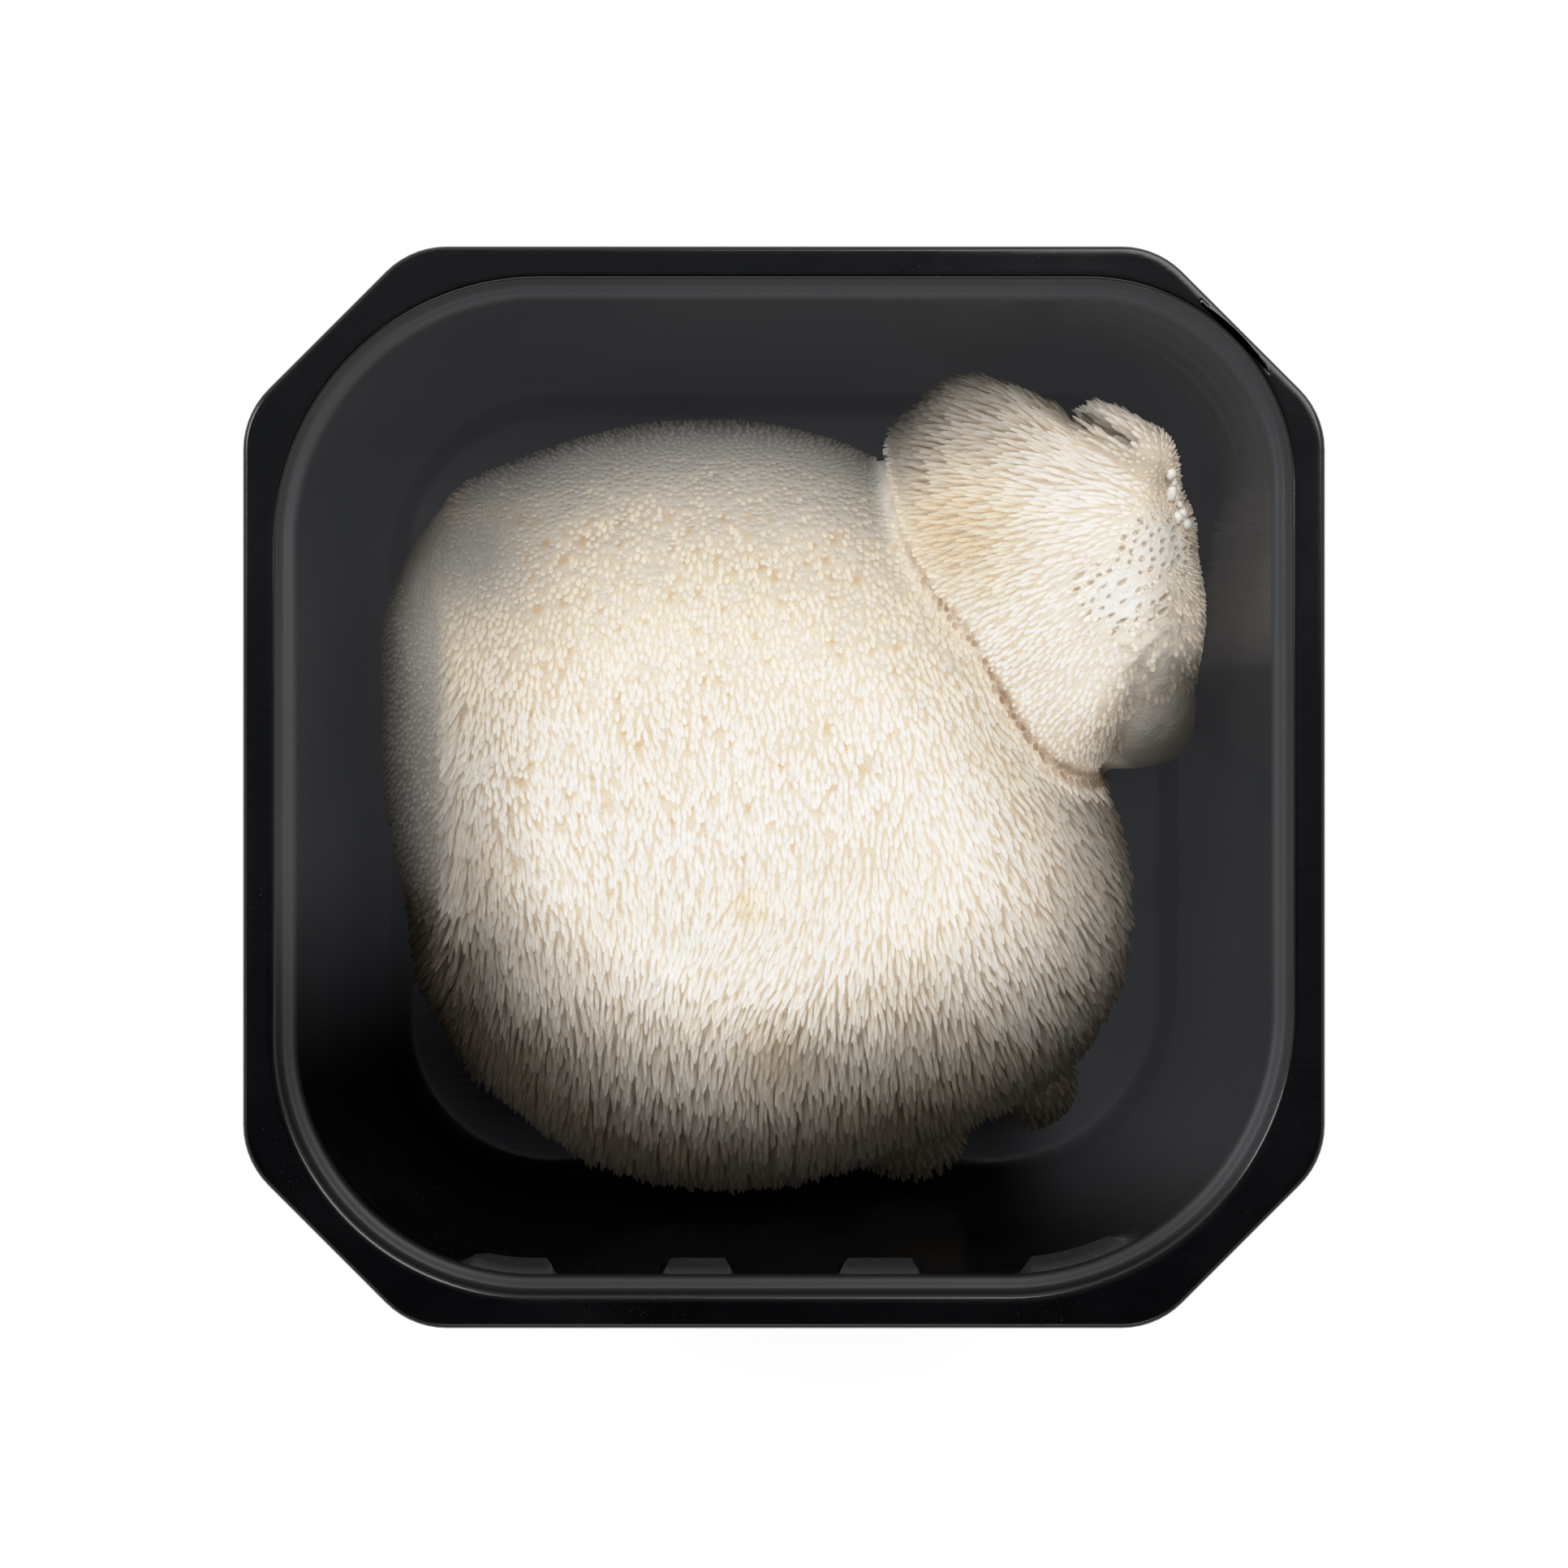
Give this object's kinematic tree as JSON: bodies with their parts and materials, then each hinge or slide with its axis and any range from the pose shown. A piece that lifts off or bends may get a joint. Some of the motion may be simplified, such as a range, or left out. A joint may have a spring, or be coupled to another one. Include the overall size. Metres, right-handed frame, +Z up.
{
  "type": "lion's mane mushroom in a tray",
  "caption": "Domed lion's mane mushroom with a side lobe, covered in soft hanging spines, resting in a square black plastic tray with cut corners.",
  "frame": {"origin": "middle of the tray's flat underside", "axes": "+Z up out of the tray; +Y towards the side that the mushroom's crown faces, with its spines hanging towards -Y; +X to the right when -Y is near"},
  "size_m": [0.15, 0.15, 0.055],
  "materials": {
    "mushroom_flesh": "matte",
    "black_plastic": "gloss"
  },
  "bodies": {
    "root": {"mushroom": "mushroom_flesh", "tray": "black_plastic"}
  },
  "joints": []
}
